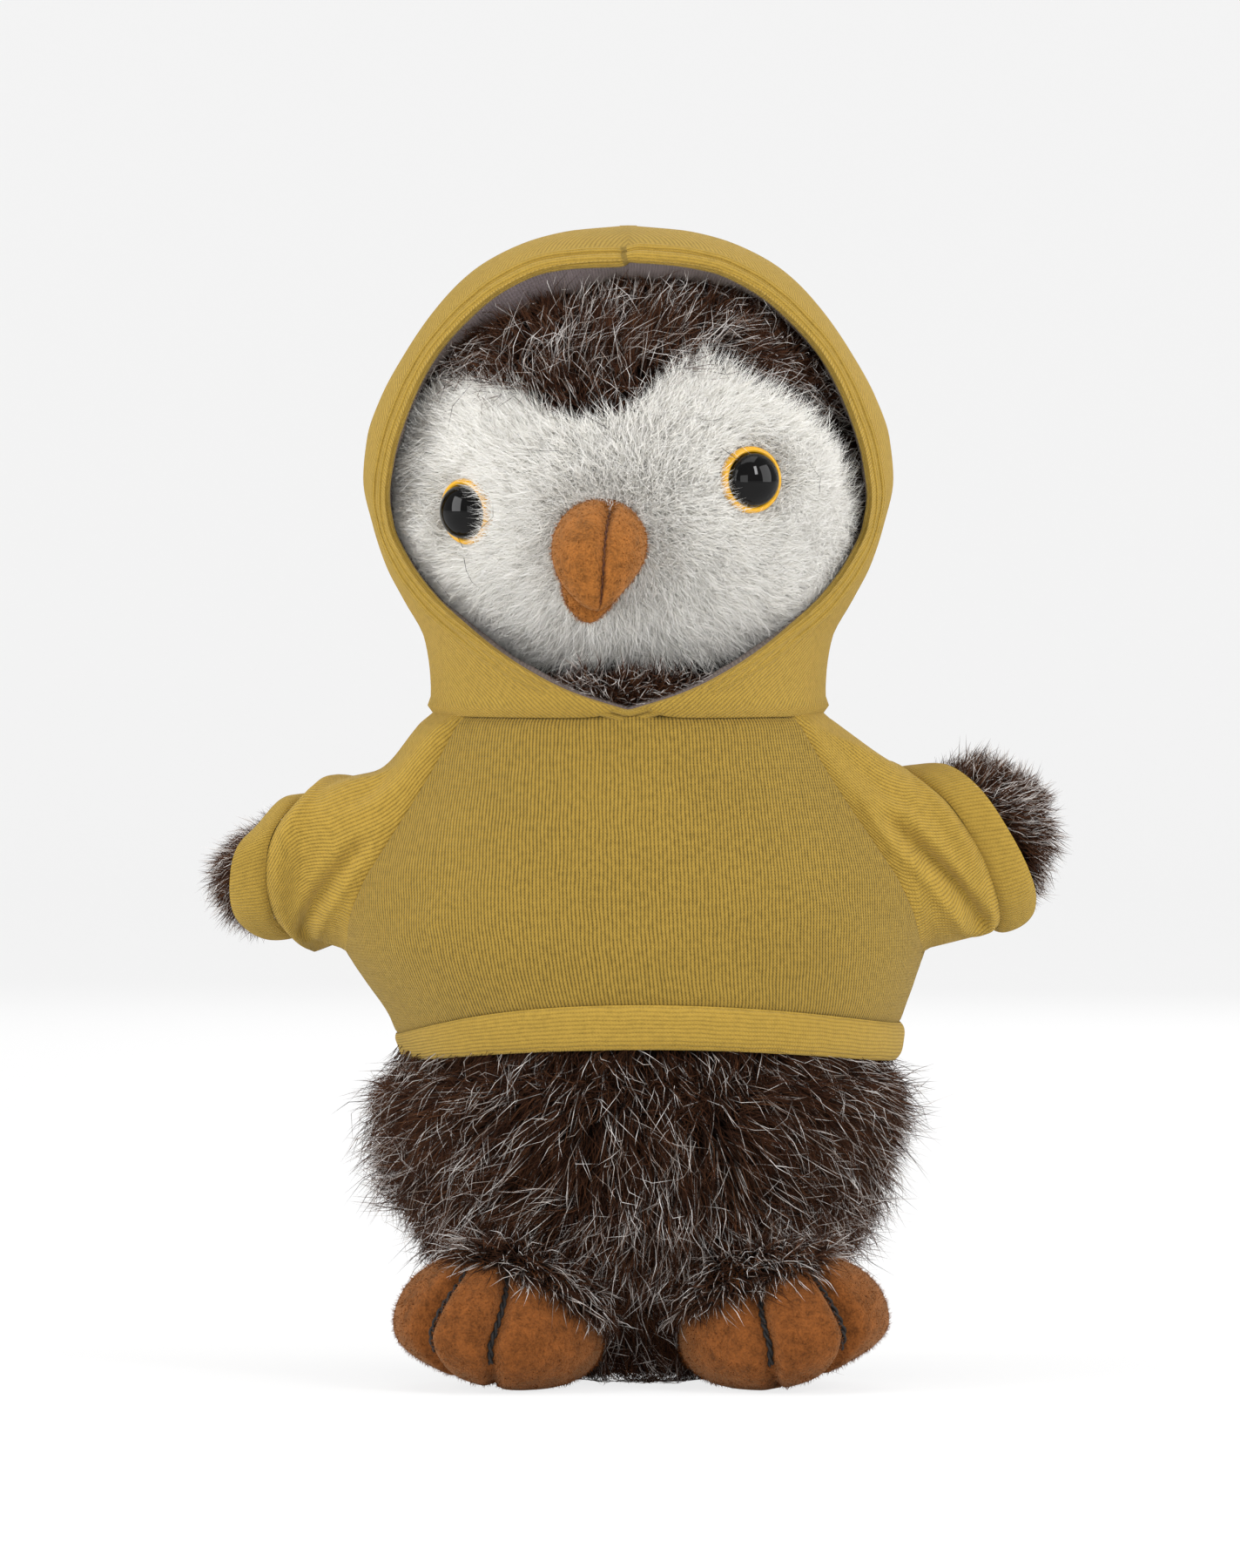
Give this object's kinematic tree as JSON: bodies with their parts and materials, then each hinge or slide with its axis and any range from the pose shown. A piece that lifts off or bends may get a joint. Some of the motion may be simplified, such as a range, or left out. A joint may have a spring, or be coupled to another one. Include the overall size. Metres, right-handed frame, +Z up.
{
  "type": "plush owl",
  "caption": "Soft toy owl standing on two feet in a hooded knit top, with a white furry face, drooping beak, round eyes and short wings in sleeves.",
  "frame": {"origin": "middle of the flat that the body stands on, level with the soles of the feet", "axes": "+Z up, the owl looks along -Y, +X to its own left, which is the right of someone facing it"},
  "size_m": [0.1492, 0.0907, 0.2],
  "materials": {
    "brown_fur": "long mottled brown pile with pale guard hairs",
    "white_pile": "short dense off-white pile",
    "mustard_jersey": "fine single jersey knit, brushed",
    "rust_velour": "napped velour",
    "black_thread": "waxed sewing thread",
    "yellow_plastic": "glossy moulded plastic",
    "black_plastic": "polished moulded plastic",
    "white_plastic": "satin moulded plastic"
  },
  "bodies": {
    "torso": {"body": "brown_fur", "hoodie_front": "mustard_jersey", "hoodie_back": "mustard_jersey", "hem_band": "mustard_jersey", "foot_left": "rust_velour", "foot_right": "rust_velour", "toe_thread_left_inner": "black_thread", "toe_thread_left_outer": "black_thread", "toe_thread_right_inner": "black_thread", "toe_thread_right_outer": "black_thread"},
    "head": {"head": "brown_fur", "face_mask": "white_pile", "eye_ring_left": "yellow_plastic", "eye_ring_right": "yellow_plastic", "eye_pupil_left": "black_plastic", "eye_pupil_right": "black_plastic", "eye_washer_left": "white_plastic", "eye_washer_right": "white_plastic", "beak_upper": "rust_velour", "beak_lower": "rust_velour", "hood_left": "mustard_jersey", "hood_right": "mustard_jersey", "hood_edge": "mustard_jersey"},
    "wing_left": {"wing_left": "brown_fur", "sleeve_left": "mustard_jersey", "cuff_left": "mustard_jersey"},
    "wing_right": {"wing_right": "brown_fur", "sleeve_right": "mustard_jersey", "cuff_right": "mustard_jersey"}
  },
  "joints": [
    {"name": "head_turn", "type": "hinge", "parent": "torso", "child": "head", "pos_m": [-0.0022, 0, 0.115], "axis": [0, 0, 1], "range_deg": [-25, 25], "stiffness_Nm_per_rad": 0.03},
    {"name": "wing_left_lift", "type": "hinge", "parent": "torso", "child": "wing_left", "pos_m": [-0.04424, 0, 0.09276], "axis": [0, 1, 0], "range_deg": [-10, 42], "stiffness_Nm_per_rad": 0.02, "deforming": ["sleeve_left"]},
    {"name": "wing_right_lift", "type": "hinge", "parent": "torso", "child": "wing_right", "pos_m": [0.04069, 0, 0.09276], "axis": [0, -1, 0], "range_deg": [-22, 20], "stiffness_Nm_per_rad": 0.02, "deforming": ["sleeve_right"]}
  ]
}
